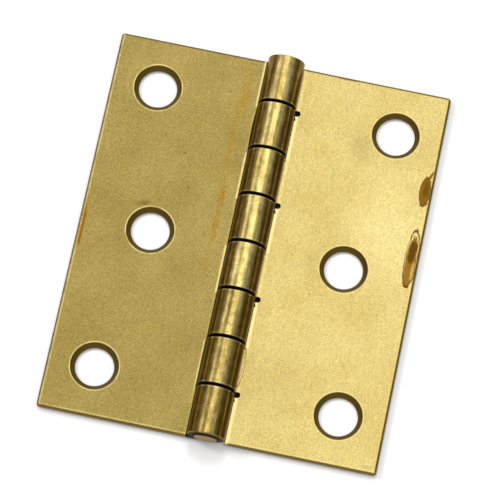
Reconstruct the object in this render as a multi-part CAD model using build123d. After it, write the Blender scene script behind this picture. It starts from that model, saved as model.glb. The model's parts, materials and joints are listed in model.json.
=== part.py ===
import os
from math import asin, degrees, radians, tan

from build123d import *

# A butt hinge, opened flat and lying on its back. The front faces +Z and both backs lie on z = 0.
# The pin runs along Y on x = 0, with the left leaf on the -X side and the right leaf on the +X side.
# Lengths are in millimetres and angles in degrees.

# Leaves, each cut and rolled from one piece of sheet
leaf_length = 76.0  # along the pin
leaf_reach = 32.5  # from the pin's centre to a leaf's outer edge
sheet = 1.2
corner_radius = 0.6  # a leaf's outer corners, seen from the front
front_rim = 0.45  # worn rounding along the front of a leaf's outer edges
cut_rim = 0.15  # slight dulling of every other cut edge

# Pin
pin_diameter = 4.58
pin_clearance = 0.06  # radial, in the knuckles
pin_stand_out = 0.4  # past each end of the barrel
pin_rim = 0.3

# Knuckles, counted from the +Y end; the right leaf has the first
knuckle_count = 8
knuckle_gap = 0.4  # from one knuckle's end to the next
seam_gap = 0.06  # from a rolled tip to the front of its own leaf
slot_overlap = 0.05  # how far the edge of a cut-out reaches in under the barrel's widest line
relief_width = 1.0  # notch with round ends in the inner corners of the right leaf's cut-outs
relief_length = 1.55
relief_reach = 1.0  # from the edge of the cut-out to the notch's outer end

# Countersunk screw holes, three in each leaf
hole_throat = 7.4
hole_land = 0.3  # straight wall left under the countersink
countersink_angle = 90.0
hole_end_margin = 9.7  # from a leaf's end to the centre of an outer hole
hole_edge_margin = 9.1  # from a leaf's outer edge to the same centre
middle_hole_shift = 4.6  # how much nearer to the pin the middle hole is

pin_radius = pin_diameter / 2
bore_radius = pin_radius + pin_clearance
barrel_radius = bore_radius + sheet
axis_height = barrel_radius
knuckle_pitch = leaf_length / knuckle_count
slot_edge = barrel_radius - slot_overlap
throat_radius = hole_throat / 2
mouth_radius = throat_radius + (sheet - hole_land) * tan(radians(countersink_angle / 2))
front_round = min(front_rim, 0.9 * corner_radius, 0.7 * sheet)
outer_hole_x = leaf_reach - hole_edge_margin
hole_centres = [
    (outer_hole_x, leaf_length / 2 - hole_end_margin),
    (outer_hole_x - middle_hole_shift, 0),
    (outer_hole_x, hole_end_margin - leaf_length / 2),
]
past = 1.0  # how far a cutter runs past the sheet
same = 0.001  # two edges nearer than this are one when edges are picked by place or radius


# The y of the line between two knuckles; 0 is the leaf's +Y end and knuckle_count its other end.
def joint_line(number):
    return leaf_length / 2 - number * knuckle_pitch


# One knuckle of a leaf on the +X side. The sheet comes in along z = 0, passes under the pin,
# rolls up round it by way of -X and ends in a square tip just above its own leaf.
def rolled_knuckle(number):
    top_gap = knuckle_gap / 2 if number > 0 else 0
    bottom_gap = knuckle_gap / 2 if number < knuckle_count - 1 else 0
    top = joint_line(number) - top_gap
    length = top - joint_line(number + 1) - bottom_gap
    tip_angle = degrees(asin((axis_height - sheet - seam_gap) / barrel_radius))
    turn = -(270 + tip_angle)
    centre = (0, axis_height)
    with BuildPart() as knuckle:
        with BuildSketch(Plane.XZ.offset(-top)):
            with BuildLine():
                outer = CenterArc(centre, barrel_radius, -90, turn)
                inner = CenterArc(centre, bore_radius, -90, turn)
                Line(outer @ 1, inner @ 1)
                Line(outer @ 0, inner @ 0)
            make_face()
        extrude(amount=length)
        rims = knuckle.edges().filter_by(GeomType.CIRCLE)
        chamfer(rims.filter_by(lambda rim: rim.radius > barrel_radius - sheet / 2), cut_rim)
    return knuckle.part


# The flat of a leaf on the +X side, with cut-outs where the other leaf's knuckles turn.
def flat_plate(own_knuckles):
    with BuildPart() as plate:
        with Locations((leaf_reach / 2, 0, sheet / 2)):
            Box(leaf_reach, leaf_length, sheet)
        fillet(plate.edges().filter_by(Axis.Z).group_by(Axis.X)[-1], corner_radius)
        outline = plate.edges().filter_by(lambda edge: edge.center().X > same)
        fillet(outline.group_by(Axis.Z)[-1], front_round)
        outline = plate.edges().filter_by(lambda edge: edge.center().X > same)
        fillet(outline.group_by(Axis.Z)[0], cut_rim)
        for number in range(knuckle_count):
            if number not in own_knuckles:
                top = joint_line(number) + (knuckle_gap / 2 if number > 0 else past)
                bottom = joint_line(number + 1)
                bottom -= knuckle_gap / 2 if number < knuckle_count - 1 else past
                with Locations((slot_edge / 2 - past / 2, (top + bottom) / 2, sheet / 2)):
                    Box(slot_edge + past, top - bottom, sheet + 2 * past, mode=Mode.SUBTRACT)
    return plate.part


# The six cutters differ only in place: a straight throat and a cone that opens to the front.
def screw_hole():
    with BuildPart() as hole:
        with BuildSketch(Plane.XZ):
            with BuildLine():
                Polyline(
                    (0, -past),
                    (throat_radius, -past),
                    (throat_radius, hole_land),
                    (mouth_radius, sheet),
                    (mouth_radius, sheet + past),
                    (0, sheet + past),
                    close=True,
                )
            make_face()
        revolve(axis=Axis.Z)
    return hole.part


# A whole leaf on the +X side.
def leaf(own_knuckles, with_reliefs):
    with BuildPart() as piece:
        add(flat_plate(own_knuckles))
        slot_rims = piece.edges().filter_by(Axis.Y).filter_by(
            lambda edge: abs(edge.center().X - slot_edge) < same
        )
        fillet(slot_rims, cut_rim)
        if with_reliefs:
            relief_middle = slot_edge + relief_reach - relief_length / 2
            reliefs = [(relief_middle, joint_line(number + 1) + knuckle_gap / 2) for number in own_knuckles]
            with BuildSketch(Plane.XY.offset(-past)):
                with Locations(*reliefs):
                    SlotOverall(relief_length, relief_width)
            extrude(amount=sheet + 2 * past, mode=Mode.SUBTRACT)
        for number in own_knuckles:
            add(rolled_knuckle(number))
        with Locations(*hole_centres):
            add(screw_hole(), mode=Mode.SUBTRACT)
        mouths = piece.edges().filter_by(GeomType.CIRCLE).filter_by(
            lambda rim: abs(rim.radius - mouth_radius) < same
        )
        chamfer(mouths, cut_rim)
    return piece.part


def hinge_pin():
    with BuildPart() as pin:
        with BuildSketch(Plane.XZ.offset(-leaf_length / 2 - pin_stand_out)):
            with Locations((0, axis_height)):
                Circle(pin_radius)
        extrude(amount=leaf_length + 2 * pin_stand_out)
        chamfer(pin.edges().filter_by(GeomType.CIRCLE), pin_rim)
    return pin.part


right_knuckles = range(0, knuckle_count, 2)
left_knuckles = range(1, knuckle_count, 2)

os.makedirs("parts", exist_ok=True)
export_step(leaf(right_knuckles, True), "parts/right_leaf.step")
export_step(mirror(leaf(left_knuckles, False), about=Plane.YZ), "parts/left_leaf.step")
export_step(hinge_pin(), "parts/hinge_pin.step")
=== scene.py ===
import json
from math import asin, cos, degrees, pi, radians, sin, sqrt, tan

import bmesh
import bpy
from mathutils import Matrix, Vector


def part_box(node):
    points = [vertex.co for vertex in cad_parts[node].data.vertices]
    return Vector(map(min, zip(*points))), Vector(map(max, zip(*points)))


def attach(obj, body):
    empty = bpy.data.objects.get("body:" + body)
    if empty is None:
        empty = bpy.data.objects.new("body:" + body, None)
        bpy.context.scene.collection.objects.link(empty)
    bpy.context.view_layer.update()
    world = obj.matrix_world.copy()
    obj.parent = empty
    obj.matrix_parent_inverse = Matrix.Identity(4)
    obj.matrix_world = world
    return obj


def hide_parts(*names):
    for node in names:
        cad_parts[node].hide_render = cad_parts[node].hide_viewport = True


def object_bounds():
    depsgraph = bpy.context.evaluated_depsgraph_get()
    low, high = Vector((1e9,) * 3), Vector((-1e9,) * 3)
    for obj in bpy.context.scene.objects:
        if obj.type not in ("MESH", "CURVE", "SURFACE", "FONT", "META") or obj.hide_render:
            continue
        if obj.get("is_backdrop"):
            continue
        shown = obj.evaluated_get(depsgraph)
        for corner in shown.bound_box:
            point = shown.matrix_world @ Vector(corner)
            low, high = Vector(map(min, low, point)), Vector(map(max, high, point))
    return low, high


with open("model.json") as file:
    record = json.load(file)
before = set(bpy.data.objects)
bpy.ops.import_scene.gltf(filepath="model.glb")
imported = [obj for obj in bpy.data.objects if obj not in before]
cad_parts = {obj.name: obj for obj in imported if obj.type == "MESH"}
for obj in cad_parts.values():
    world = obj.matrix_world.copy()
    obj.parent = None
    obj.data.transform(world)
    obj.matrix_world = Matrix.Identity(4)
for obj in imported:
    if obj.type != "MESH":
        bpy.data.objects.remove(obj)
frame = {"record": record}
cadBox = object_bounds()
mm = 0.001  # meshes are built in millimetres and scaled once they are done

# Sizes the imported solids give. The right leaf lies on +X, the left one is its mirror image.
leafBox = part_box("right_leaf")
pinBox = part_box("hinge_pin")
mounts = {mount["name"]: mount for mount in frame["record"]["mounts"]}
reach = leafBox[1].x / mm  # pin's centre to a leaf's outer edge
length = (leafBox[1].y - leafBox[0].y) / mm
barrelRadius = leafBox[1].z / mm / 2
pinRadius = pinBox[1].x / mm
outerHoles = mounts["right_outer_holes"]
throatRadius = outerHoles["dims"]["hole_r_mm"]
outerHole = (outerHoles["pos_m"][0] / mm, outerHoles["dims"]["spacing_y_mm"] / 2)
middleHole = mounts["right_middle_hole"]["pos_m"][0] / mm

sheetSettings = {  # mm
    "thickness": 1.2,
    "knuckles": 8,  # counted from the +Y end, the right leaf has the first
    "knuckleTones": (0.88, 0.96, 0.98, 1.0, 1.0, 0.78, 0.7, 0.7),  # the lower ones are darker
    "knuckleGap": 0.4,
    "seamGap": 0.06,  # from a rolled tip to its own leaf
    "slotOverlap": 0.05,  # how far the edge of a cut-out reaches in under the barrel's widest line
    "cell": 0.65,  # grid of the flat
    "rowsPerKnuckle": 14,
    "rollStep": 5,  # degrees
    "cornerRadius": 0.6,
    "frontRound": 0.45,  # worn rounding of the outline's front
    "backRound": 0.15,
    "rimRound": 0.12,  # every other rim
    "slotRound": 0.14,  # front rim of the cut-outs, pressed over by the punch
    "knuckleRound": 0.22,  # outer rims of the rolls
    "roundSteps": 3,
    "reliefRadius": 0.5,  # notches with round ends in the inner corners of the right leaf's cut-outs
    "reliefStart": -0.05,  # centres of their inner and outer round ends, from the edge of the cut-out
    "reliefEnd": 0.5,
    "reliefBlock": 0.9,  # patch of the grid round those centres that gives way to the notch
    "sharp": 30,  # degrees, an edge that turns more than this is a rim
    "cornerSteps": 5,
}
holeSettings = {  # mm
    "land": 0.3,
    "mouthRadius": 4.6,
    "collarRadius": 5.5,  # ring of faces kept round the mouth
    "blockHalf": 6.9,  # patch of the grid that gives way to the hole's rings
    "lipRound": 0.14,
}
slotEdge = barrelRadius - sheetSettings["slotOverlap"]
same = 0.01  # mm, two places nearer than this are one
joined = 1e-4  # mm, and two vertices nearer than this


def jointLine(number):
    return length / 2 - number * length / sheetSettings["knuckles"]


def slotSpan(number):
    half = sheetSettings["knuckleGap"] / 2
    last = sheetSettings["knuckles"] - 1
    return jointLine(number + 1) - half - (number == last), jointLine(number) + half + (number == 0)


# Cuts the faces that keep picks along a plane, the rest stay whole
def cutAlong(mesh, point, normal, keep):
    faces = [face for face in mesh.faces if keep(face.calc_center_median())]
    edges = {edge for face in faces for edge in face.edges}
    verts = {vert for face in faces for vert in face.verts}
    parts = faces + list(edges) + list(verts)
    bmesh.ops.bisect_plane(mesh, geom=parts, plane_co=point, plane_no=normal, dist=joined)


def deleteFaces(mesh, keep):
    faces = [face for face in mesh.faces if keep(face.calc_center_median())]
    bmesh.ops.delete(mesh, geom=faces, context="FACES")


def boundaryNear(mesh, keep):
    return [edge for edge in mesh.edges if edge.is_boundary and all(keep(vert.co) for vert in edge.verts)]


# The blank: a flat grid on z = 0 from the pin's plane to the outer edge, with its cut-outs
def cutBlank(mesh, ownKnuckles):
    s = sheetSettings
    columns = round(reach / s["cell"])
    rows = s["knuckles"] * s["rowsPerKnuckle"]
    bmesh.ops.create_grid(mesh, x_segments=columns, y_segments=rows, size=0.5)
    bmesh.ops.scale(mesh, vec=(reach, length, 1), verts=mesh.verts)
    bmesh.ops.translate(mesh, vec=(reach / 2, 0, 0), verts=mesh.verts)
    for vert in mesh.verts:
        if abs(vert.co.x - slotEdge) < s["cell"] / 2:
            vert.co.x = slotEdge  # one column stands on the edge of the cut-outs
    for number in range(1, s["knuckles"]):
        for side in (-1, 1):
            y = jointLine(number) + side * s["knuckleGap"] / 2
            cutAlong(mesh, (0, y, 0), (0, 1, 0), lambda c: c.x < slotEdge and abs(c.y - y) < s["cell"] * 2)
    for number in range(s["knuckles"]):
        if number not in ownKnuckles:
            low, high = slotSpan(number)
            deleteFaces(mesh, lambda c: c.x < slotEdge and low < c.y < high)


# Lines up the far side of a ring of faces on a circle, or on a slot's outline from first to last
def drawIn(mesh, edges, first, last, radius):
    made = bmesh.ops.extrude_edge_only(mesh, edges=edges)["geom"]
    for vert in made:
        if isinstance(vert, bmesh.types.BMVert):
            middle = Vector((min(max(vert.co.x, first.x), last.x), first.y, 0))
            vert.co = middle + (vert.co - middle).normalized() * radius
    return [item for item in made if isinstance(item, bmesh.types.BMEdge) and item.is_boundary]


# Notch in the inner corner of a cut-out: a patch of the grid gives way to faces round its outline
def cutRelief(mesh, number):
    s = sheetSettings
    level = jointLine(number + 1) + s["knuckleGap"] / 2
    first = Vector((slotEdge + s["reliefStart"], level, 0))
    last = Vector((slotEdge + s["reliefEnd"], level, 0))
    low = Vector((first.x - s["reliefBlock"], level - s["reliefBlock"], 0))
    high = Vector((last.x + s["reliefBlock"], level + s["reliefBlock"], 0))
    near = lambda c: low.x - 1 < c.x < high.x + 1 and low.y - 1 < c.y < high.y + 1
    for corner in (low, high):
        cutAlong(mesh, corner, (1, 0, 0), near)
        cutAlong(mesh, corner, (0, 1, 0), near)
    deleteFaces(mesh, lambda c: low.x < c.x < high.x and low.y < c.y < high.y)
    within = lambda co: low.x - same < co.x < high.x + same and low.y - same < co.y < high.y + same
    onRim = lambda a, b, axis, value: abs(a[axis] - value) < same and abs(b[axis] - value) < same
    sides = [(corner, axis) for corner in (low, high) for axis in (0, 1)]
    rim = lambda: [
        edge
        for edge in boundaryNear(mesh, within)
        if any(onRim(edge.verts[0].co, edge.verts[1].co, axis, corner[axis]) for corner, axis in sides)
    ]
    bmesh.ops.subdivide_edges(mesh, edges=rim(), cuts=2)
    drawIn(mesh, rim(), first, last, s["reliefRadius"])


# Hole: a square patch gives way to rings of faces down to the throat, the countersink comes later
def punchHole(mesh, centre):
    s = holeSettings
    deleteFaces(mesh, lambda c: abs(c.x - centre.x) < s["blockHalf"] and abs(c.y - centre.y) < s["blockHalf"])
    beyond = s["blockHalf"] + sheetSettings["cell"]
    rim = boundaryNear(mesh, lambda co: abs(co.x - centre.x) < beyond and abs(co.y - centre.y) < beyond)
    collar = drawIn(mesh, rim, centre, centre, s["collarRadius"])
    drawIn(mesh, collar, centre, centre, throatRadius)


# The tongues roll up round the pin by way of -X and end just above their own leaf
def rollTongues(mesh, rollMark):
    s = sheetSettings
    tip = degrees(asin((barrelRadius - s["thickness"] - s["seamGap"]) / barrelRadius))
    start = [edge for edge in mesh.edges if all(abs(vert.co.x) < joined for vert in edge.verts)]
    flat = set(mesh.verts)
    bmesh.ops.spin(
        mesh,
        geom=start + list({vert for edge in start for vert in edge.verts}),
        cent=(0, 0, barrelRadius),
        axis=(0, 1, 0),
        angle=radians(270 + tip),
        steps=round((270 + tip) / s["rollStep"]),
        use_duplicate=False,
    )
    for vert in mesh.verts:
        if vert not in flat:
            vert[rollMark] = 1.0
    bmesh.ops.remove_doubles(mesh, verts=mesh.verts, dist=joined)


# The blank lies on the back; its copy is lifted to the front, and in the rolls drawn in to the bore
def thicken(mesh, rollMark):
    thickness = sheetSettings["thickness"]
    made = bmesh.ops.extrude_face_region(mesh, geom=mesh.faces[:], use_keep_orig=True)["geom"]
    front = [item for item in made if isinstance(item, bmesh.types.BMVert)]
    rolled = [vert for vert in front if vert[rollMark] > 0.5]
    flat = [vert for vert in front if vert[rollMark] <= 0.5]
    bmesh.ops.translate(mesh, vec=(0, 0, thickness), verts=flat)
    size = (barrelRadius - thickness) / barrelRadius
    bmesh.ops.scale(mesh, vec=(size, 1, size), space=Matrix.Translation((0, 0, -barrelRadius)), verts=rolled)


# Opens a hole's wall to the countersink's cone above its straight land
def countersink(mesh, centre):
    s = holeSettings
    thickness = sheetSettings["thickness"]
    onWall = lambda co: abs((co.xy - centre.xy).length - throatRadius) < 0.05
    cutAlong(mesh, (0, 0, s["land"]), (0, 0, 1), onWall)
    mouth = [vert for vert in mesh.verts if onWall(vert.co) and vert.co.z > thickness - 1e-3]
    size = s["mouthRadius"] / throatRadius
    bmesh.ops.scale(mesh, vec=(size, size, 1), space=Matrix.Translation(-centre), verts=mouth)


# How wide a sharp rim is rounded, by where it runs
def rimWidth(middle, holes):
    s = sheetSettings
    fromPin = sqrt(middle.x ** 2 + (middle.z - barrelRadius) ** 2)
    if middle.x < same or middle.z > s["thickness"] + same:
        return s["knuckleRound"] if fromPin > barrelRadius - s["thickness"] / 2 else s["rimRound"]
    nearOutline = max(middle.x - reach, abs(middle.y) - length / 2) > -s["cornerRadius"]
    if middle.z < same:
        return s["backRound"] if nearOutline else s["rimRound"]
    if middle.z < s["thickness"] - same:
        return s["rimRound"]
    if nearOutline:
        grown = min(max((middle.x - slotEdge) / (4 * s["cell"]), 0), 1)  # fades out towards the rolls
        return s["rimRound"] + grown * (s["frontRound"] - s["rimRound"])
    if any((middle.xy - hole.xy).length < holeSettings["collarRadius"] for hole in holes):
        return holeSettings["lipRound"]
    if abs(middle.x - slotEdge) < same:
        return s["slotRound"]
    return s["rimRound"]


def weighRims(mesh, holes):
    weights = mesh.edges.layers.float.new("bevel_weight_edge")
    for edge in mesh.edges:
        if edge.calc_face_angle(0) > radians(sheetSettings["sharp"]):
            middle = (edge.verts[0].co + edge.verts[1].co) / 2
            edge[weights] = rimWidth(middle, holes) / sheetSettings["frontRound"]


def roundCorners(mesh):
    s = sheetSettings
    corner = lambda co: co.x > reach - same and abs(co.y) > length / 2 - same
    upright = [edge for edge in mesh.edges if all(corner(vert.co) for vert in edge.verts)]
    bmesh.ops.bevel(
        mesh,
        geom=upright,
        offset=s["cornerRadius"],
        affect="EDGES",
        segments=s["cornerSteps"],
        profile=0.5,
        material=-1,
    )


# A finished mesh becomes an object in metres
def finishPiece(name, mesh, smooth=True, scale=mm):
    bmesh.ops.scale(mesh, vec=(scale, scale, scale), verts=mesh.verts)
    data = bpy.data.meshes.new(name)
    mesh.to_mesh(data)
    mesh.free()
    for face in data.polygons:
        face.use_smooth = smooth
    piece = bpy.data.objects.new(name, data)
    bpy.context.scene.collection.objects.link(piece)
    return piece


def makeLeaf(name, ownKnuckles, withReliefs, side):
    s = sheetSettings
    mesh = bmesh.new()
    rollMark = mesh.verts.layers.float.new("rolled")
    knuckleTone = mesh.verts.layers.float.new("knuckleTone")
    cutBlank(mesh, ownKnuckles)
    if withReliefs:
        for number in ownKnuckles:
            cutRelief(mesh, number)
    places = (outerHole, (middleHole, 0), (outerHole[0], -outerHole[1]))
    holes = [Vector((x, y, 0)) for x, y in places]
    for centre in holes:
        punchHole(mesh, centre)
    rollTongues(mesh, rollMark)
    thicken(mesh, rollMark)
    for centre in holes:
        countersink(mesh, centre)
    bmesh.ops.recalc_face_normals(mesh, faces=mesh.faces)
    roundCorners(mesh)
    weighRims(mesh, holes)
    for vert in mesh.verts:
        number = int((length / 2 - vert.co.y) * s["knuckles"] / length)
        vert[knuckleTone] = s["knuckleTones"][min(max(number, 0), s["knuckles"] - 1)]
    if side < 0:
        bmesh.ops.scale(mesh, vec=(-1, 1, 1), verts=mesh.verts)
        bmesh.ops.reverse_faces(mesh, faces=mesh.faces)
    leaf = finishPiece(name, mesh)
    rims = leaf.modifiers.new("wornRims", "BEVEL")
    rims.limit_method = "WEIGHT"
    rims.width = s["frontRound"] * mm
    rims.segments = s["roundSteps"]
    rims.use_clamp_overlap = False
    rims.harden_normals = True
    return leaf


rightSheet = makeLeaf("right_leaf_sheet", range(0, sheetSettings["knuckles"], 2), True, 1)
leftSheet = makeLeaf("left_leaf_sheet", range(1, sheetSettings["knuckles"], 2), False, -1)
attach(rightSheet, "right_leaf")
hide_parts("right_leaf")
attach(leftSheet, "left_leaf")
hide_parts("left_leaf")
print("leaves made")


# A colour as a picture shows it, handed to the shader in linear light
def paint(colour):
    return tuple(c / 12.92 if c <= 0.04045 else ((c + 0.055) / 1.055) ** 2.4 for c in colour) + (1.0,)


def addNode(tree, kind, **settings):
    node = tree.nodes.new(kind)
    for name, value in settings.items():
        setattr(node, name, value)
    return node


def feed(tree, socket, value):
    if isinstance(value, bpy.types.NodeSocket):
        tree.links.new(value, socket)
    else:
        socket.default_value = value


def maths(tree, operation, *values, clamp=False):
    node = addNode(tree, "ShaderNodeMath", operation=operation, use_clamp=clamp)
    for socket, value in zip(node.inputs, values):
        feed(tree, socket, value)
    return node.outputs[0]


def times(tree, first, *others):
    for value in others:
        first = maths(tree, "MULTIPLY", first, value)
    return first


# start + value * share
def scaled(tree, value, share, start, clamp=False):
    return maths(tree, "MULTIPLY_ADD", value, share, start, clamp=clamp)


# 0 to 1 (or start to end) as the value goes from low to high, with soft shoulders
def ease(tree, value, low, high, start=0.0, end=1.0):
    node = addNode(tree, "ShaderNodeMapRange", interpolation_type="SMOOTHSTEP")
    names = ("Value", "From Min", "From Max", "To Min", "To Max")
    for name, given in zip(names, (value, low, high, start, end)):
        feed(tree, node.inputs[name], given)
    return node.outputs["Result"]


def layOver(tree, share, under, over):
    node = addNode(tree, "ShaderNodeMix", data_type="RGBA")
    for index, value in ((0, share), (6, under), (7, over)):
        feed(tree, node.inputs[index], value)
    return node.outputs[2]


def tint(tree, colour, share):
    node = addNode(tree, "ShaderNodeVectorMath", operation="SCALE")
    feed(tree, node.inputs[0], colour)
    feed(tree, node.inputs["Scale"], share)
    return node.outputs[0]


cameraSettings = {  # degrees and mm, round the middle of the pin's axis
    "azimuth": 8.17,
    "elevation": 73.501,
    "roll": 3.699,
    "distance": 614.86,
    "slideRight": -0.557,
    "slideUp": 0.773,
    "lens": 233.58,  # mm, on a sensor 36 mm wide
}


def addCamera():
    s = cameraSettings
    azimuth, elevation, roll = (radians(s[key]) for key in ("azimuth", "elevation", "roll"))
    back = Vector((sin(azimuth) * cos(elevation), -cos(azimuth) * cos(elevation), sin(elevation)))
    level = Vector((cos(azimuth), sin(azimuth), 0))
    upright = back.cross(level)
    right = level * cos(roll) + upright * sin(roll)
    up = upright * cos(roll) - level * sin(roll)
    place = back * s["distance"] - right * s["slideRight"] - up * s["slideUp"] + Vector((0, 0, barrelRadius))
    camera = bpy.data.objects.new("photoCamera", bpy.data.cameras.new("photoCamera"))
    camera.data.sensor_width = 36
    camera.data.lens = s["lens"]
    camera.data.clip_start = 0.01
    camera.data.clip_end = 20
    camera.matrix_world = Matrix.Translation(place * mm) @ Matrix((right, up, back)).transposed().to_4x4()
    bpy.context.scene.collection.objects.link(camera)
    bpy.context.scene.camera = camera


studioSettings = {
    "floorHalf": 12.0,  # m
    "floorLevel": -0.00035,  # a hair below the backs, which never lie quite flat
    "floorColour": (0.74, 0.74, 0.74),
    "floorGlow": 0.3,
    "glowReach": 0.005,  # m, how near the hinge the glow dims
    "glowSamples": 8,
    "fullyOpen": 0.9,  # share of open sky at which the glow is full
    "worldDim": 0.18,
    "worldBright": 0.52,
    "curtains": (0.96, 0.28, 0.0),  # both ways along this line the room is dim
    "curtainReach": (0.5, 0.95),  # from full light to dim, as a cosine from that line
    "panelDistance": 1.5,  # m
    # name, tilt to the right and to the back in degrees, half angles, brightness, whether the brass
    # mirrors it; the ones it doesn't only give the floor its shadows
    "panels": (
        ("topPanel", 2.5, 10, 15, 28, 0.97, True),
        ("leftPanel", -42, 14, 8, 30, 0.75, True),
        ("shadowPanel", -6, 30, 7, 7, 13.0, False),
        ("sidePanel", -43, 8, 5, 5, 32.0, False),
    ),
}


def addRoom():
    s = studioSettings
    world = bpy.data.worlds.new("studioWorld")
    bpy.context.scene.world = world
    world.use_nodes = True
    air = world.node_tree
    towards = addNode(air, "ShaderNodeVectorMath", operation="DOT_PRODUCT")
    feed(air, towards.inputs[0], addNode(air, "ShaderNodeTexCoord").outputs["Generated"])
    towards.inputs[1].default_value = s["curtains"]
    along = maths(air, "ABSOLUTE", towards.outputs["Value"])
    level = ease(air, along, *s["curtainReach"], s["worldBright"], s["worldDim"])
    air.nodes["Background"].inputs["Color"].default_value = (1, 1, 1, 1)
    feed(air, air.nodes["Background"].inputs["Strength"], level)


def addPanels():
    distance = studioSettings["panelDistance"]
    for name, rightTilt, backTilt, halfAcross, halfAlong, brightness, mirrored in studioSettings["panels"]:
        lamp = bpy.data.lights.new(name, "AREA")
        lamp.shape = "RECTANGLE"
        lamp.size = 2 * distance * tan(radians(halfAcross))
        lamp.size_y = 2 * distance * tan(radians(halfAlong))
        lamp.energy = brightness * pi * lamp.size * lamp.size_y
        panel = bpy.data.objects.new(name, lamp)
        turn = Matrix.Rotation(radians(rightTilt), 4, "Y") @ Matrix.Rotation(radians(-backTilt), 4, "X")
        panel.matrix_world = turn @ Matrix.Translation((0, 0, distance))
        panel.visible_camera = False
        panel.visible_glossy = mirrored
        bpy.context.scene.collection.objects.link(panel)


# White paper: matt, with a glow that dims close to the hinge, a painted contact shadow, and keeps its shadow
def makeFloorPaper():
    s = studioSettings
    material = bpy.data.materials.new("floorPaper")
    material.use_nodes = True
    tree = material.node_tree
    tree.nodes.clear()
    matt = addNode(tree, "ShaderNodeBsdfDiffuse")
    matt.inputs["Color"].default_value = (*s["floorColour"], 1)
    seen = addNode(tree, "ShaderNodeLightPath").outputs
    shown = maths(tree, "MAXIMUM", seen["Is Camera Ray"], seen["Is Glossy Ray"])
    shown = maths(tree, "MAXIMUM", shown, seen["Is Transmission Ray"])
    sky = addNode(tree, "ShaderNodeAmbientOcclusion", samples=s["glowSamples"])
    sky.inputs["Distance"].default_value = s["glowReach"]
    openSky = ease(tree, sky.outputs["AO"], 0.0, s["fullyOpen"])
    glow = addNode(tree, "ShaderNodeEmission")
    feed(tree, glow.inputs["Strength"], times(tree, shown, s["floorGlow"], openSky))
    both = addNode(tree, "ShaderNodeAddShader")
    feed(tree, both.inputs[0], matt.outputs[0])
    feed(tree, both.inputs[1], glow.outputs[0])
    feed(tree, addNode(tree, "ShaderNodeOutputMaterial").inputs["Surface"], both.outputs[0])
    return material


def addFloor():
    s = studioSettings
    mesh = bmesh.new()
    bmesh.ops.create_grid(mesh, x_segments=1, y_segments=1, size=s["floorHalf"])
    bmesh.ops.translate(mesh, vec=(0, 0, s["floorLevel"]), verts=mesh.verts)
    floor = finishPiece("floor", mesh, smooth=False, scale=1)
    floor.data.materials.append(makeFloorPaper())
    floor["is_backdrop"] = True


addCamera()
addRoom()
addPanels()
addFloor()
bpy.context.scene.view_settings.view_transform = "Standard"
print("camera and studio made")


def startGroup(name, inputs, outputs):
    group = bpy.data.node_groups.new(name, "ShaderNodeTree")
    for label, kind, value in inputs:
        group.interface.new_socket(label, in_out="INPUT", socket_type=kind).default_value = value
    for label in outputs:
        group.interface.new_socket(label, in_out="OUTPUT", socket_type="NodeSocketFloat")
    given = group.nodes.new("NodeGroupInput").outputs
    result = group.nodes.new("NodeGroupOutput").inputs
    return group, given, result


def runGroup(tree, group, **values):
    node = addNode(tree, "ShaderNodeGroup", node_tree=group)
    for label, value in values.items():
        feed(tree, node.inputs[label], value)
    return node.outputs


def objectPlace(tree):
    return addNode(tree, "ShaderNodeTexCoord").outputs["Object"]


# Soft patches of tarnish and rubbing
def makeCloudyTone():
    group, given, result = startGroup(
        "cloudyTone",
        (
            ("Patch", "NodeSocketFloat", 0.01),
            ("Long", "NodeSocketFloat", 1.0),
            ("Seed", "NodeSocketFloat", 0.0),
        ),
        ("Tone",),
    )
    drawn = addNode(group, "ShaderNodeCombineXYZ")
    parts = addNode(group, "ShaderNodeSeparateXYZ")
    feed(group, parts.inputs[0], objectPlace(group))
    feed(group, drawn.inputs["X"], parts.outputs["X"])
    feed(group, drawn.inputs["Y"], maths(group, "DIVIDE", parts.outputs["Y"], given["Long"]))
    feed(group, drawn.inputs["Z"], parts.outputs["Z"])
    clouds = addNode(group, "ShaderNodeTexNoise", noise_dimensions="4D")
    feed(group, clouds.inputs["Vector"], drawn.outputs[0])
    feed(group, clouds.inputs["W"], given["Seed"])
    feed(group, clouds.inputs["Scale"], maths(group, "DIVIDE", 1.0, given["Patch"]))
    clouds.inputs["Detail"].default_value = 3
    clouds.inputs["Roughness"].default_value = 0.55
    feed(group, result["Tone"], ease(group, clouds.outputs["Fac"], 0.32, 0.68))
    return group


# The mottle of rolled and rubbed sheet, with faint lines along the rolling
def makeSheetGrain():
    group, given, result = startGroup(
        "sheetGrain",
        (
            ("Grain", "NodeSocketFloat", 0.0003),
            ("Lines", "NodeSocketFloat", 0.15),
            ("Seed", "NodeSocketFloat", 0.0),
        ),
        ("Tone", "Height"),
    )
    mottle = addNode(group, "ShaderNodeTexNoise", noise_dimensions="4D")
    feed(group, mottle.inputs["Vector"], objectPlace(group))
    feed(group, mottle.inputs["W"], given["Seed"])
    feed(group, mottle.inputs["Scale"], maths(group, "DIVIDE", 1.0, given["Grain"]))
    mottle.inputs["Detail"].default_value = 2
    mottle.inputs["Roughness"].default_value = 0.6
    drawn = addNode(group, "ShaderNodeVectorMath", operation="MULTIPLY")
    feed(group, drawn.inputs[0], objectPlace(group))
    drawn.inputs[1].default_value = (1, 0.12, 1)
    lines = addNode(group, "ShaderNodeTexNoise", noise_dimensions="4D")
    feed(group, lines.inputs["Vector"], drawn.outputs[0])
    feed(group, lines.inputs["W"], given["Seed"])
    feed(group, lines.inputs["Scale"], maths(group, "DIVIDE", 1.4, given["Grain"]))
    lines.inputs["Detail"].default_value = 1
    offMottle = maths(group, "SUBTRACT", lines.outputs["Fac"], mottle.outputs["Fac"])
    both = scaled(group, offMottle, given["Lines"], mottle.outputs["Fac"])
    feed(group, result["Tone"], maths(group, "SUBTRACT", both, 0.5))
    feed(group, result["Height"], both)
    return group


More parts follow.
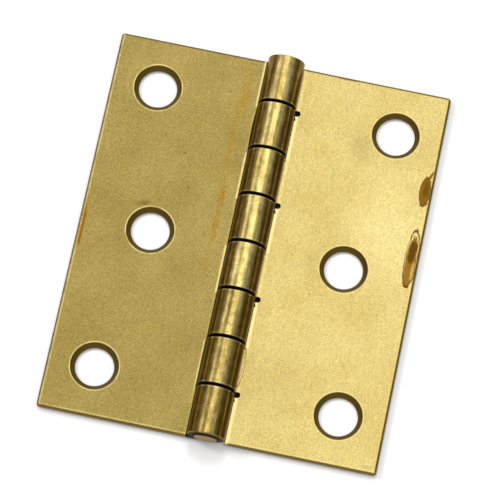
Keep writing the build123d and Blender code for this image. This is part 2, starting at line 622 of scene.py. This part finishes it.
# Small dark pits and dirt, in some cells of a scatter
def makePitting():
    group, given, result = startGroup(
        "pitting",
        (
            ("Spacing", "NodeSocketFloat", 0.002),
            ("Size", "NodeSocketFloat", 0.08),
            ("Share", "NodeSocketFloat", 0.3),
            ("Seed", "NodeSocketFloat", 0.0),
        ),
        ("Mask",),
    )
    moved = addNode(group, "ShaderNodeVectorMath", operation="ADD")
    feed(group, moved.inputs[0], objectPlace(group))
    feed(group, moved.inputs[1], given["Seed"])
    cells = addNode(group, "ShaderNodeTexVoronoi")
    feed(group, cells.inputs["Vector"], moved.outputs[0])
    feed(group, cells.inputs["Scale"], maths(group, "DIVIDE", 1.0, given["Spacing"]))
    tone = addNode(group, "ShaderNodeSeparateColor")
    feed(group, tone.inputs[0], cells.outputs["Color"])
    picked = maths(group, "LESS_THAN", tone.outputs["Red"], given["Share"])
    size = maths(group, "MULTIPLY", given["Size"], maths(group, "ADD", tone.outputs["Green"], 0.4))
    spot = ease(group, cells.outputs["Distance"], size, maths(group, "MULTIPLY", size, 0.4))
    feed(group, result["Mask"], maths(group, "MULTIPLY", picked, spot))
    return group


# One stain, or a mark of painted shade, on the front face: an oval with a wandering edge, filled or as a ring
def makeStainAndShadeMark():
    group, given, result = startGroup(
        "stainAndShadeMark",
        (
            ("Middle", "NodeSocketVector", (0, 0, 0)),
            ("Turn", "NodeSocketVector", (0, 0, 0)),
            ("Half", "NodeSocketVector", (0.001, 0.001, 0.0005)),
            ("Wander", "NodeSocketFloat", 0.3),
            ("Soft", "NodeSocketFloat", 0.3),
        ),
        ("Fill", "Ring"),
    )
    centred = addNode(group, "ShaderNodeMapping", vector_type="TEXTURE")
    feed(group, centred.inputs["Vector"], objectPlace(group))
    feed(group, centred.inputs["Location"], given["Middle"])
    feed(group, centred.inputs["Rotation"], given["Turn"])
    feed(group, centred.inputs["Scale"], given["Half"])
    fromMiddle = addNode(group, "ShaderNodeVectorMath", operation="LENGTH")
    feed(group, fromMiddle.inputs[0], centred.outputs[0])
    edge = addNode(group, "ShaderNodeTexNoise")
    feed(group, edge.inputs["Vector"], objectPlace(group))
    edge.inputs["Scale"].default_value = 900
    edge.inputs["Detail"].default_value = 2
    wandered = maths(group, "MULTIPLY", maths(group, "SUBTRACT", edge.outputs["Fac"], 0.5), given["Wander"])
    away = maths(group, "ADD", fromMiddle.outputs["Value"], wandered)
    inner = maths(group, "SUBTRACT", 1.0, given["Soft"])
    feed(group, result["Fill"], ease(group, away, 1.0, inner))
    half = maths(group, "MULTIPLY", given["Soft"], 0.5)
    offRing = maths(group, "ABSOLUTE", maths(group, "SUBTRACT", away, maths(group, "SUBTRACT", 1.0, half)))
    feed(group, result["Ring"], ease(group, offRing, half, 0.0))
    return group


cutEdgeSettings = {"bare": (0.12, 0.264), "offBack": (0.0, 0.06)}  # mm, below the front and above the back


# Where the bare cut edges of the sheet are, by height: below the front's rim, and not on the back
def makeCutEdge():
    group, given, result = startGroup("cutEdge", (("Front", "NodeSocketFloat", 1.2),), ("Dark",))
    parts = addNode(group, "ShaderNodeSeparateXYZ")
    feed(group, parts.inputs[0], objectPlace(group))
    height = maths(group, "DIVIDE", parts.outputs["Z"], mm)
    below = maths(group, "SUBTRACT", given["Front"], height)
    bare = ease(group, below, *cutEdgeSettings["bare"])
    feed(group, result["Dark"], times(group, bare, ease(group, height, *cutEdgeSettings["offBack"])))
    return group


# Places on the rolls in millimetres: from the pin's axis, from the nearest joint between knuckles,
# above the back, to either side, and whether the knuckle there is the other leaf's
def makeRollPlace():
    group, given, result = startGroup(
        "rollPlace", (("Own", "NodeSocketFloat", 0.0),), ("FromAxis", "FromJoint", "Height", "Side", "Others")
    )
    parts = addNode(group, "ShaderNodeSeparateXYZ")
    feed(group, parts.inputs[0], objectPlace(group))
    x, y, z = (maths(group, "DIVIDE", parts.outputs[axis], mm) for axis in "XYZ")
    up = maths(group, "SUBTRACT", z, barrelRadius)
    feed(group, result["FromAxis"], maths(group, "SQRT", scaled(group, x, x, times(group, up, up))))
    pitch = length / sheetSettings["knuckles"]
    along = maths(group, "DIVIDE", maths(group, "SUBTRACT", length / 2, y), pitch)
    share = maths(group, "FRACT", along)
    nearest = times(group, maths(group, "MINIMUM", share, maths(group, "SUBTRACT", 1.0, share)), pitch)
    atEnd = maths(group, "GREATER_THAN", maths(group, "ABSOLUTE", y), length / 2 - pitch / 2)
    feed(group, result["FromJoint"], scaled(group, atEnd, pitch, nearest))  # the barrel's ends are no joints
    odd = maths(group, "FLOORED_MODULO", maths(group, "FLOOR", along), 2.0)
    feed(group, result["Others"], maths(group, "ABSOLUTE", maths(group, "SUBTRACT", odd, given["Own"])))
    feed(group, result["Height"], z)
    feed(group, result["Side"], maths(group, "ABSOLUTE", x))
    return group


# Places on the flat in millimetres: from the nearest hole's centre, the lower and upper ends
# and the outer edge
def makeSheetPlace():
    group, given, result = startGroup("sheetPlace", (), ("FromHole", "FromLower", "FromUpper", "FromSide"))
    parts = addNode(group, "ShaderNodeSeparateXYZ")
    feed(group, parts.inputs[0], objectPlace(group))
    x, y = (maths(group, "DIVIDE", parts.outputs[axis], mm) for axis in "XY")
    side = maths(group, "ABSOLUTE", x)
    either = maths(group, "ABSOLUTE", y)
    distances = []
    for centre in (outerHole, (middleHole, 0)):
        across = maths(group, "SUBTRACT", side, centre[0])
        along = maths(group, "SUBTRACT", either, centre[1])
        distances.append(maths(group, "SQRT", scaled(group, across, across, times(group, along, along))))
    feed(group, result["FromHole"], maths(group, "MINIMUM", *distances))
    feed(group, result["FromLower"], maths(group, "ADD", y, length / 2))
    feed(group, result["FromUpper"], maths(group, "SUBTRACT", length / 2, y))
    feed(group, result["FromSide"], maths(group, "SUBTRACT", reach, side))
    return group


cloudyTone = makeCloudyTone()
sheetGrain = makeSheetGrain()
pitting = makePitting()
stainAndShadeMark = makeStainAndShadeMark()
cutEdge = makeCutEdge()
rollPlace = makeRollPlace()
sheetPlace = makeSheetPlace()

# A mark: x and y in mm, half width and half length, turn in degrees, wander, softness, strength,
# colour, and whether only its ring is seen
rightBrass = {
    "seed": 3.0,
    "own": 0.0,
    "lowHighlight": 0.35,  # painted highlight along the lower end
    # painted highlight round the holes' lips
    "lipHighlight": 0.9,
    "sideHighlight": 0.0,  # and painted highlight along the outer edge
    # painted shade, partly tarnish, on the rounding of the outer edge
    "sideShadeAndTarnish": 0.95,
    "sideBand": 0.52,  # mm, how far the painted shade and tarnish of the outer edge reaches in
    "creviceShadeAndDirt": 0.1,  # painted shade and dirt on the flat beside the leaf's own knuckles
    "seamShadow": 0.0,  # painted black shadow line right beside the barrel
    "plateDark": (0.82, 0.73, 0.44),
    "plateLight": (0.855, 0.775, 0.495),
    "plateRoughness": 0.33,
    "rollDark": (0.83, 0.72, 0.39),
    "rollLight": (0.99, 0.9, 0.6),
    # painted highlight on the edges of the cut-outs beside the barrel
    "rim": (0.93, 0.85, 0.56),
    "grainTone": 0.95,
    "lines": 0.25,
    "pitShare": 0.4,
    "marks": (
        (25.5, 10, 12, 20, 0, 0.2, 1.0, 0.35, (0.99, 0.93, 0.66), False),
        (31.05, 18.3, 1.1, 3.25, 1, 0.5, 0.14, 0.96, (0.5, 0.34, 0.05), False),
        (31.2, 18.8, 0.8, 2.5, 1, 1.0, 0.7, 0.6, (0.38, 0.24, 0.04), False),
        (31.05, 18.3, 1.15, 3.3, 1, 0.5, 0.2, 0.85, (0.38, 0.24, 0.04), True),
        (31.55, 21.5, 0.32, 1.5, -20, 0.5, 0.4, 0.9, (0.5, 0.35, 0.1), False),
        (30.95, 4.0, 1.1, 5.6, 0, 0.5, 0.14, 0.94, (0.54, 0.38, 0.06), False),
        (31.55, 2.2, 0.36, 2.8, 0, 0.9, 0.6, 0.7, (0.82, 0.7, 0.36), False),
        (31.0, 6.0, 0.8, 3.2, -3, 0.8, 0.35, 0.9, (0.36, 0.24, 0.07), False),
        (30.95, 4.6, 1.3, 6.3, 0, 0.4, 0.2, 1.0, (0.36, 0.22, 0.05), True),
        (12.2, 37.75, 3.2, 0.45, 0, 0.5, 0.6, 0.85, (0.42, 0.32, 0.14), False),
        (3.45, -22.6, 0.95, 4.6, 1, 0.35, 0.26, 0.95, (0.42, 0.33, 0.13), True),
        (3.4, -22.0, 0.7, 3.6, 1, 0.35, 0.22, 0.8, (0.42, 0.33, 0.13), True),
        (30.3, -36.8, 1.0, 0.5, 20, 0.6, 0.9, 0.4, (0.6, 0.5, 0.25), False),
        (10.5, -5.0, 5, 14, 12, 0.4, 1.0, 0.25, (0.81, 0.71, 0.42), False),
        (10.0, -27.0, 11, 16, 0, 0.3, 1.0, 0.4, (0.77, 0.68, 0.41), False),
        # painted shade on the slope beside the upper hole
        (17.4, 24.6, 3.2, 5.0, 25, 0.3, 1.0, 0.45, (0.71, 0.65, 0.42), False),
        # painted shade on the slope beside the middle hole
        (13.4, -0.6, 2.6, 4.6, 0, 0.3, 1.0, 0.35, (0.72, 0.65, 0.42), False),
    ),
}
leftBrass = {
    "seed": 11.0,
    "own": 1.0,
    "lowHighlight": 0.45,
    "lipHighlight": 0.95,
    "sideHighlight": 0.55,
    "sideShadeAndTarnish": 0.25,
    "sideBand": 0.4,
    "creviceShadeAndDirt": 0.8,
    "seamShadow": 0.95,
    # the left flat is painted darker than the right one: painted shade for the real leaf's tilt away from the
    # light
    "plateDark": (0.63, 0.55, 0.297),
    "plateLight": (0.677, 0.595, 0.336),
    "plateRoughness": 0.35,
    "rollDark": (0.82, 0.71, 0.38),
    "rollLight": (0.99, 0.9, 0.6),
    # painted highlight on the edges of the cut-outs beside the barrel
    "rim": (0.88, 0.8, 0.53),
    "grainTone": 1.15,
    "lines": 0.08,
    "pitShare": 0.3,
    "marks": (
        (-6.4, 30.5, 1.3, 8.5, 1, 0.9, 1.0, 0.6, (0.68, 0.52, 0.18), False),
        (-7.3, 27.5, 1.1, 9.5, 0, 0.9, 1.0, 0.5, (0.67, 0.52, 0.18), False),
        # painted shadow of the second knuckle's open seam
        (-3.84, 23.75, 0.27, 4.7, 0, 0.1, 0.3, 1.0, (0.09, 0.08, 0.06), False),
        (-7.45, 18, 1.1, 8.0, -2, 0.9, 1.0, 0.6, (0.67, 0.53, 0.2), False),
        (-6.75, 9.6, 0.85, 3.0, 0, 0.9, 1.0, 0.85, (0.68, 0.48, 0.12), False),
        (-6.95, 3.2, 0.85, 4.2, 2, 0.9, 1.0, 0.75, (0.68, 0.49, 0.13), False),
        (-7.0, 8.0, 0.9, 15.0, 0, 0.7, 1.0, 0.4, (0.67, 0.52, 0.19), False),
        (-7.0, -4.5, 0.6, 3.8, 3, 0.9, 1.0, 0.4, (0.67, 0.52, 0.2), False),
        (-29.2, 35.05, 0.5, 0.3, 0, 0.6, 0.8, 0.8, (0.7, 0.48, 0.14), False),
        (-31.7, -1.5, 0.5, 6.2, 1, 0.7, 0.6, 1.0, (0.6, 0.4, 0.07), False),
        (-21.2, 5.0, 2.6, 1.0, 12, 0.6, 1.0, 0.8, (0.46, 0.4, 0.21), False),
        (-4.0, 19.7, 0.35, 0.8, 0, 0.6, 0.8, 0.7, (0.5, 0.52, 0.5), False),
        (-15.7, 16.5, 0.28, 0.28, 0, 0.5, 0.8, 0.8, (0.4, 0.33, 0.14), False),
        (-16.9, 17.4, 0.22, 0.22, 0, 0.5, 0.8, 0.7, (0.4, 0.33, 0.14), False),
        (-13.4, 9.8, 0.25, 0.25, 0, 0.5, 0.8, 0.7, (0.4, 0.33, 0.14), False),
        (-22, 31, 15, 16, 20, 0.2, 1.0, 0.22, (0.8, 0.7, 0.4), False),
        (-8, -22, 7, 14, 0, 0.3, 1.0, 0.3, (0.58, 0.5, 0.26), False),
        (-16, -20, 9, 11, 0, 0.4, 1.0, 0.2, (0.75, 0.66, 0.36), False),
        (-29.5, -25, 3.2, 9, 0, 0.5, 1.0, 0.3, (0.6, 0.52, 0.26), False),
    ),
}
wornBrass = {  # shared by both leaves; patches and grain in m, places in mm
    "patch": 0.009,
    "smallPatch": 0.0024,
    "smallPatchTone": 0.035,
    "smallPatchRoughness": 0.03,
    "grain": 0.00018,
    "grainBump": 0.16,
    "grainDepth": 0.00002,
    "rollRoughness": 0.2,
    "bandRoughness": 0.08,
    "bandWidth": 0.0009,  # streaks along and round the rolls
    "bandLength": 14.0,
    "bandWaver": 0.2,  # how far the streaks shift the painted shade and tarnish of the sides up and down
    "blotch": 0.0009,  # spots of tarnish on the rolls
    "blotchLength": 1.6,
    "blotchTone": 0.5,
    "rollGrain": 1.4,
    "lowKnuckleBrown": (0.62, 0.48, 0.15),  # over the darker, lower knuckles
    "browning": 1.2,
    "sideTop": 7.03,  # above the back, where the painted shade and tarnish of the barrel's sides starts
    "sideFull": 6.25,
    "deepFull": 4.4,
    # painted shade, partly tarnish, for the barrel's sides, which face away from the light
    "side": (0.52, 0.4, 0.13),
    "deep": (0.42, 0.31, 0.07),
    "endRimOutside": (0.62, 0.5),  # from a joint, the brighter rim of a knuckle
    "endRimInside": (0.36, 0.46),
    "endWallDepth": (0.1, 0.25),  # below the outside of a roll
    "endWall": (0.33, 0.24, 0.06),
    "endWallDull": 0.8,
    # painted shade with grime round the pin and at the joints between knuckles
    "pinShadeAndGrime": (0.45, 0.2),  # out from the pin
    "jointShadeAndGrime": (0.4, 0.3),
    "shadeAndGrime": (0.05, 0.035, 0.015),
    "shadeAndGrimeDull": 0.25,
    "oxide": 0.8,  # how far the painted shade and grime and the end walls are from bare metal
    "cutEdge": (0.45, 0.38, 0.23),
    "burnish": 0.15,  # how much smoother the sheet is right beside the barrel
    "burnishReach": (4.6, 3.9),  # this and the next three from the plane of the pin
    "slotHighlightReach": (4.44, 4.1),
    "creviceReach": (4.1, 3.6),
    "seamShadowReach": (3.98, 3.83),
    "lowerSeamShift": 0.14,  # the seam's line is wider beside the other leaf's lowest knuckle
    "slotHighlightHeight": (0.5, 0.7),
    # painted shade and dirt under the barrel's overhang
    "creviceShadeAndDirt": (0.5, 0.4, 0.16),
    "pit": (0.4, 0.32, 0.14),
    "pitTone": 0.8,
    "pitSize": 0.1,
    "pitSpacing": 0.0012,
    "rollPits": 0.35,  # more pits on the rolls
    # painted shade in the countersinks' cones
    "cone": (0.49, 0.4, 0.17),
    "coneHeight": (0.02, 0.08),
    "coneReach": (0.02, -0.06),  # this and the next two from the mouth's edge
    "lipOutside": (0.3, 0.14),
    "lipInside": (-0.05, 0.03),
    "rounding": 0.4,  # the rounding along the outline, painted dark: painted shade, partly tarnish
    "upperRounding": 0.5,
    "outlineFade": 0.14,
    # painted shade, partly tarnish, on the roundings of the lower and upper ends
    "lowShadeAndTarnish": 0.9,
    "upperShadeAndTarnish": 0.95,
    "highlightOutside": (0.36, 0.16),  # painted highlight along it, from its inner edge
    "highlightInside": (-0.12, 0.04),
    "front": (0.95, 1.1),
    "outline": (0.52, 0.43, 0.2),
    # colour of the painted highlights along the lips and edges
    "highlightColour": (0.97, 0.88, 0.58),
}


def newMaterial(name):
    material = bpy.data.materials.new(name)
    material.use_nodes = True
    shader = material.node_tree.nodes["Principled BSDF"]
    return material, material.node_tree, shader


def addBump(tree, shader, height, strength, depth):
    bump = addNode(tree, "ShaderNodeBump")
    bump.inputs["Strength"].default_value = strength
    bump.inputs["Distance"].default_value = depth
    feed(tree, bump.inputs["Height"], height)
    feed(tree, shader.inputs["Normal"], bump.outputs[0])


def leafMaterial(name, s):
    w = wornBrass
    seed = s["seed"]
    material, tree, shader = newMaterial(name)
    rolled = addNode(tree, "ShaderNodeAttribute", attribute_name="rolled").outputs["Fac"]
    knuckle = addNode(tree, "ShaderNodeAttribute", attribute_name="knuckleTone").outputs["Fac"]
    flat = maths(tree, "SUBTRACT", 1.0, rolled)
    roll = runGroup(tree, rollPlace, Own=s["own"])
    around = runGroup(tree, sheetPlace)
    clouds = runGroup(tree, cloudyTone, Patch=w["patch"], Seed=seed)["Tone"]
    small = runGroup(tree, cloudyTone, Patch=w["smallPatch"], Seed=seed + 1)["Tone"]
    bands = runGroup(tree, cloudyTone, Patch=w["bandWidth"], Long=w["bandLength"], Seed=seed + 2)["Tone"]
    blotches = runGroup(tree, cloudyTone, Patch=w["blotch"], Long=w["blotchLength"], Seed=seed + 3)["Tone"]
    grain = runGroup(tree, sheetGrain, Grain=w["grain"], Lines=s["lines"], Seed=seed)
    pitShare = scaled(tree, rolled, w["rollPits"], s["pitShare"])
    pits = runGroup(tree, pitting, Spacing=w["pitSpacing"], Size=w["pitSize"], Share=pitShare, Seed=seed)
    pits = pits["Mask"]

    # flat of the leaf with its stains and marks, some of them painted shade
    plate = layOver(tree, clouds, paint(s["plateDark"]), paint(s["plateLight"]))
    for x, y, halfWidth, halfLength, turn, wander, soft, strength, colour, ringOnly in s["marks"]:
        mark = runGroup(
            tree,
            stainAndShadeMark,
            Middle=(x * mm, y * mm, sheetSettings["thickness"] * mm),
            Turn=(0, 0, radians(turn)),
            Half=(halfWidth * mm, halfLength * mm, sheetSettings["thickness"] * mm / 2),
            Wander=wander,
            Soft=soft,
        )["Ring" if ringOnly else "Fill"]
        plate = layOver(tree, times(tree, mark, strength), plate, paint(colour))
    patches = scaled(tree, small, 2 * w["smallPatchTone"], 1 - w["smallPatchTone"])
    plate = tint(tree, plate, scaled(tree, grain["Tone"], 2 * s["grainTone"], patches))

    # rolls: bright on top, painted brown shade, partly tarnish, down their sides
    barrel = layOver(tree, bands, paint(s["rollDark"]), paint(s["rollLight"]))
    waver = scaled(tree, bands, w["bandWaver"], -w["bandWaver"] / 2)
    height = maths(tree, "ADD", roll["Height"], waver)
    barrel = layOver(tree, ease(tree, height, w["sideTop"], w["sideFull"]), barrel, paint(w["side"]))
    barrel = layOver(tree, ease(tree, height, w["sideFull"], w["deepFull"]), barrel, paint(w["deep"]))
    brown = scaled(tree, knuckle, -w["browning"], w["browning"], clamp=True)
    barrel = layOver(tree, brown, barrel, paint(w["lowKnuckleBrown"]))
    barrel = tint(tree, barrel, scaled(tree, knuckle, 0.5, 0.5))
    barrel = tint(tree, barrel, scaled(tree, blotches, w["blotchTone"], 1 - w["blotchTone"] / 2))
    barrel = tint(tree, barrel, scaled(tree, grain["Tone"], w["rollGrain"], 1.0))
    rimOutside = ease(tree, roll["FromJoint"], *w["endRimOutside"])
    rimInside = ease(tree, roll["FromJoint"], *w["endRimInside"])
    endRim = times(tree, rimOutside, rimInside, scaled(tree, bands, 0.5, 0.25))
    barrel = layOver(tree, endRim, barrel, paint(s["rollLight"]))
    wall = ease(tree, roll["FromAxis"], *(barrelRadius - depth for depth in w["endWallDepth"]))
    barrel = layOver(tree, wall, barrel, paint(w["endWall"]))
    nearPin = ease(tree, roll["FromAxis"], *(pinRadius + away for away in w["pinShadeAndGrime"]))
    nearJoint = ease(tree, roll["FromJoint"], *w["jointShadeAndGrime"])
    shadeAndGrime = times(tree, rolled, maths(tree, "MAXIMUM", nearPin, nearJoint))
    surface = layOver(tree, rolled, plate, barrel)

    # crevice shade and dirt, cut edges, countersinks' painted shade, rims' painted shade (partly tarnish) and
    # painted highlights
    others = roll["Others"]
    own = maths(tree, "SUBTRACT", 1.0, others)
    creviceShadeAndDirt = times(tree, own, ease(tree, roll["Side"], *w["creviceReach"]), flat, s["creviceShadeAndDirt"])
    surface = layOver(tree, creviceShadeAndDirt, surface, paint(w["creviceShadeAndDirt"]))
    cut = times(tree, runGroup(tree, cutEdge, Front=sheetSettings["thickness"])["Dark"], flat)
    surface = layOver(tree, cut, surface, paint(w["cutEdge"]))
    fromMouth = maths(tree, "SUBTRACT", around["FromHole"], holeSettings["mouthRadius"])
    # the countersinks' cones get painted shade
    cone = times(tree, ease(tree, fromMouth, *w["coneReach"]), ease(tree, roll["Height"], *w["coneHeight"]))
    surface = layOver(tree, cone, surface, paint(w["cone"]))
    lipInside = ease(tree, fromMouth, *w["lipInside"], 0.0, s["lipHighlight"])
    paintedHighlights = times(tree, ease(tree, fromMouth, *w["lipOutside"]), lipInside)
    for distance, rounding, line, edgeShadeAndTarnish in (
        (around["FromLower"], w["rounding"], s["lowHighlight"], w["lowShadeAndTarnish"]),
        (around["FromUpper"], w["upperRounding"], 0.0, w["upperShadeAndTarnish"]),
        (around["FromSide"], s["sideBand"], s["sideHighlight"], s["sideShadeAndTarnish"]),
    ):
        inward = maths(tree, "SUBTRACT", distance, rounding)
        outer = times(tree, ease(tree, inward, 0.0, -w["outlineFade"]), edgeShadeAndTarnish, flat)
        surface = layOver(tree, outer, surface, paint(w["outline"]))
        bright = ease(tree, inward, *w["highlightOutside"], 0.0, line)
        bright = times(tree, bright, ease(tree, inward, *w["highlightInside"]))
        paintedHighlights = maths(tree, "MAXIMUM", paintedHighlights, bright)
    unevenly = scaled(tree, small, 0.9, 0.35, clamp=True)
    highlightShown = times(tree, paintedHighlights, unevenly, ease(tree, roll["Height"], *w["front"]), flat)
    surface = layOver(tree, highlightShown, surface, paint(w["highlightColour"]))

    # beside the barrel: painted highlights on the edges of the cut-outs and the painted black shadow of the
    # seam
    slotEdgeHighlight = times(tree, others, ease(tree, roll["Side"], *w["slotHighlightReach"]), flat)
    slotEdgeHighlight = times(tree, slotEdgeHighlight, scaled(tree, small, 0.5, 0.55))
    slotEdgeHighlight = times(tree, slotEdgeHighlight, ease(tree, roll["Height"], *w["slotHighlightHeight"]))
    surface = layOver(tree, slotEdgeHighlight, surface, paint(s["rim"]))
    # the seam's black line is a painted shadow
    lowest = maths(tree, "LESS_THAN", around["FromLower"], 2 * length / sheetSettings["knuckles"])
    beside = scaled(tree, times(tree, others, lowest), -w["lowerSeamShift"], roll["Side"])
    seamShadow = times(tree, ease(tree, beside, *w["seamShadowReach"]), flat, s["seamShadow"])
    surface = layOver(tree, seamShadow, surface, paint(w["shadeAndGrime"]))
    surface = layOver(tree, times(tree, pits, w["pitTone"]), surface, paint(w["pit"]))
    # painted shade with grime round the pin and in the joints
    surface = layOver(tree, shadeAndGrime, surface, paint(w["shadeAndGrime"]))
    feed(tree, shader.inputs["Base Color"], surface)

    uneven = w["smallPatchRoughness"]
    plateRough = scaled(tree, small, 2 * uneven, s["plateRoughness"] - uneven)
    barrelRough = scaled(tree, bands, w["bandRoughness"], w["rollRoughness"])
    rough = scaled(tree, maths(tree, "SUBTRACT", barrelRough, plateRough), rolled, plateRough)
    burnished = times(tree, ease(tree, roll["Side"], *w["burnishReach"]), flat)
    rough = scaled(tree, burnished, -w["burnish"], rough)
    dull = maths(tree, "MAXIMUM", maths(tree, "MAXIMUM", cut, shadeAndGrime), times(tree, pits, w["pitTone"]))
    rough = scaled(tree, dull, w["shadeAndGrimeDull"], rough)
    onWall = times(tree, wall, rolled)
    feed(tree, shader.inputs["Roughness"], scaled(tree, onWall, w["endWallDull"], rough, clamp=True))
    bare = scaled(tree, maths(tree, "MAXIMUM", shadeAndGrime, onWall), -w["oxide"], 1.0)
    feed(tree, shader.inputs["Metallic"], bare)
    addBump(tree, shader, maths(tree, "SUBTRACT", grain["Height"], pits), w["grainBump"], w["grainDepth"])
    return material


pinSettings = {  # mm, patches of tarnish in m
    "segments": 72,
    "rings": 40,
    "endRound": 0.3,
    "dish": 0.07,  # how far the middle of each sheared end lies below its rim
    "innerShare": 0.45,  # of the radius, where the dish starts to rise
    "innerDish": 0.8,  # share of the dish left there
    "flatRim": 0.35,
    "flatRimDish": 0.01,
    "colour": (0.52, 0.42, 0.24),
    "light": (0.66, 0.55, 0.33),
    # painted shade with dirt on the pin's side
    "shadeAndDirt": (0.12, 0.09, 0.04),
    "shadeAndDirtDepth": (0.16, 0.02),  # in from the wall
    "patch": 0.0018,
    "streak": 0.0006,
    "streakLength": 12.0,
    "grain": 0.0003,
    "grainTone": 0.5,
    "grainBump": 0.3,
    "grainDepth": 0.00004,
    "roughness": 0.38,
}


# The pin is a half outline, with both ends slightly dished, spun round its axis
def makePin():
    s = pinSettings
    halfLength = pinBox[1].y / mm
    rim = pinRadius - s["endRound"]
    shape = (
        (0, s["dish"]),
        (pinRadius * s["innerShare"], s["dish"] * s["innerDish"]),
        (rim - s["flatRim"], s["flatRimDish"]),
        (rim, 0),
        (pinRadius - s["endRound"] * 0.3, s["endRound"] * 0.3),
        (pinRadius, s["endRound"]),
    )
    lower = [(x, inward - halfLength) for x, inward in shape]
    upper = [(x, halfLength - inward) for x, inward in reversed(shape)]
    mesh = bmesh.new()
    verts = [mesh.verts.new((x, y, barrelRadius)) for x, y in lower + upper]
    edges = [mesh.edges.new(pair) for pair in zip(verts, verts[1:])]
    side = [edge for edge in edges if edge.calc_length() > 1.5 * pinRadius]
    bmesh.ops.subdivide_edges(mesh, edges=side, cuts=s["rings"])
    bmesh.ops.spin(
        mesh,
        geom=mesh.verts[:] + mesh.edges[:],
        cent=(0, 0, barrelRadius),
        axis=(0, 1, 0),
        angle=2 * pi,
        steps=s["segments"],
        use_merge=True,
    )
    bmesh.ops.remove_doubles(mesh, verts=mesh.verts, dist=joined)
    bmesh.ops.recalc_face_normals(mesh, faces=mesh.faces)
    return finishPiece("pivot_pin", mesh)


def pinMaterial():
    s = pinSettings
    material, tree, shader = newMaterial("tarnishedPin")
    clouds = runGroup(tree, cloudyTone, Patch=s["patch"], Seed=21.0)["Tone"]
    turned = runGroup(tree, cloudyTone, Patch=s["streak"], Long=s["streakLength"], Seed=22.0)["Tone"]
    grain = runGroup(tree, sheetGrain, Grain=s["grain"], Seed=23.0)
    place = runGroup(tree, rollPlace)
    tone = scaled(tree, clouds, 0.6, times(tree, turned, 0.4))
    surface = layOver(tree, tone, paint(s["colour"]), paint(s["light"]))
    surface = tint(tree, surface, scaled(tree, grain["Tone"], s["grainTone"], 1.0))
    # the pin's side gets painted shade with dirt
    onWall = ease(tree, place["FromAxis"], *(pinRadius - depth for depth in s["shadeAndDirtDepth"]))
    surface = layOver(tree, onWall, surface, paint(s["shadeAndDirt"]))
    feed(tree, shader.inputs["Base Color"], surface)
    feed(tree, shader.inputs["Roughness"], scaled(tree, clouds, 0.15, s["roughness"]))
    feed(tree, shader.inputs["Metallic"], scaled(tree, onWall, -0.5, 1.0))
    addBump(tree, shader, grain["Height"], s["grainBump"], s["grainDepth"])
    return material


notchShadeSettings = {  # mm
    "top": 0.34,  # above the back
    "bottom": 0.02,
    "round": 0.08,
    "slack": 0.005,  # from the notch's wall
    "segments": 32,
    "dark": (0.1, 0.08, 0.06),
    "light": (0.17, 0.14, 0.1),
}


# A dark plug in the outer ends of the right leaf's notches: painted shade for the dark beneath them
def makeNotchShade():
    s = notchShadeSettings
    radius = sheetSettings["reliefRadius"] - s["slack"]
    mesh = bmesh.new()
    for number in range(0, sheetSettings["knuckles"], 2):
        disc = bmesh.ops.create_circle(mesh, cap_ends=True, radius=radius, segments=s["segments"])["verts"]
        level = jointLine(number + 1) + sheetSettings["knuckleGap"] / 2
        place = (slotEdge + sheetSettings["reliefEnd"], level, s["bottom"])
        bmesh.ops.translate(mesh, vec=place, verts=disc)
    made = bmesh.ops.extrude_face_region(mesh, geom=mesh.faces[:], use_keep_orig=True)["geom"]
    top = [item for item in made if isinstance(item, bmesh.types.BMVert)]
    bmesh.ops.translate(mesh, vec=(0, 0, s["top"] - s["bottom"]), verts=top)
    bmesh.ops.recalc_face_normals(mesh, faces=mesh.faces)
    rim = [edge for edge in mesh.edges if all(vert.co.z > s["top"] - same for vert in edge.verts)]
    bmesh.ops.bevel(mesh, geom=rim, offset=s["round"], affect="EDGES", segments=2, profile=0.5, material=-1)
    return finishPiece("notch_shade_plug", mesh, smooth=False)


def notchShadeMaterial():
    s = notchShadeSettings
    material, tree, shader = newMaterial("notchShadePlug")
    clouds = runGroup(tree, cloudyTone, Patch=0.0004, Seed=31.0)["Tone"]
    feed(tree, shader.inputs["Base Color"], layOver(tree, clouds, paint(s["dark"]), paint(s["light"])))
    shader.inputs["Roughness"].default_value = 0.8
    addBump(tree, shader, clouds, 0.6, 0.00006)
    return material


notchShadePlug = makeNotchShade()
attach(notchShadePlug, "right_leaf")
notchShadePlug.data.materials.append(notchShadeMaterial())
pivotPin = makePin()
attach(pivotPin, "left_leaf")
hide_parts("hinge_pin")
pivotPin.data.materials.append(pinMaterial())
# one brass in two copies: a lit one for the right leaf, and one painted darker as shade for the left
rightSheet.data.materials.append(leafMaterial("litLeafBrass", rightBrass))
leftSheet.data.materials.append(leafMaterial("shadedLeafBrass", leftBrass))
print("pin and materials made")

sizes = {"cad": [list(corner) for corner in cadBox], "visual": [list(corner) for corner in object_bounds()]}
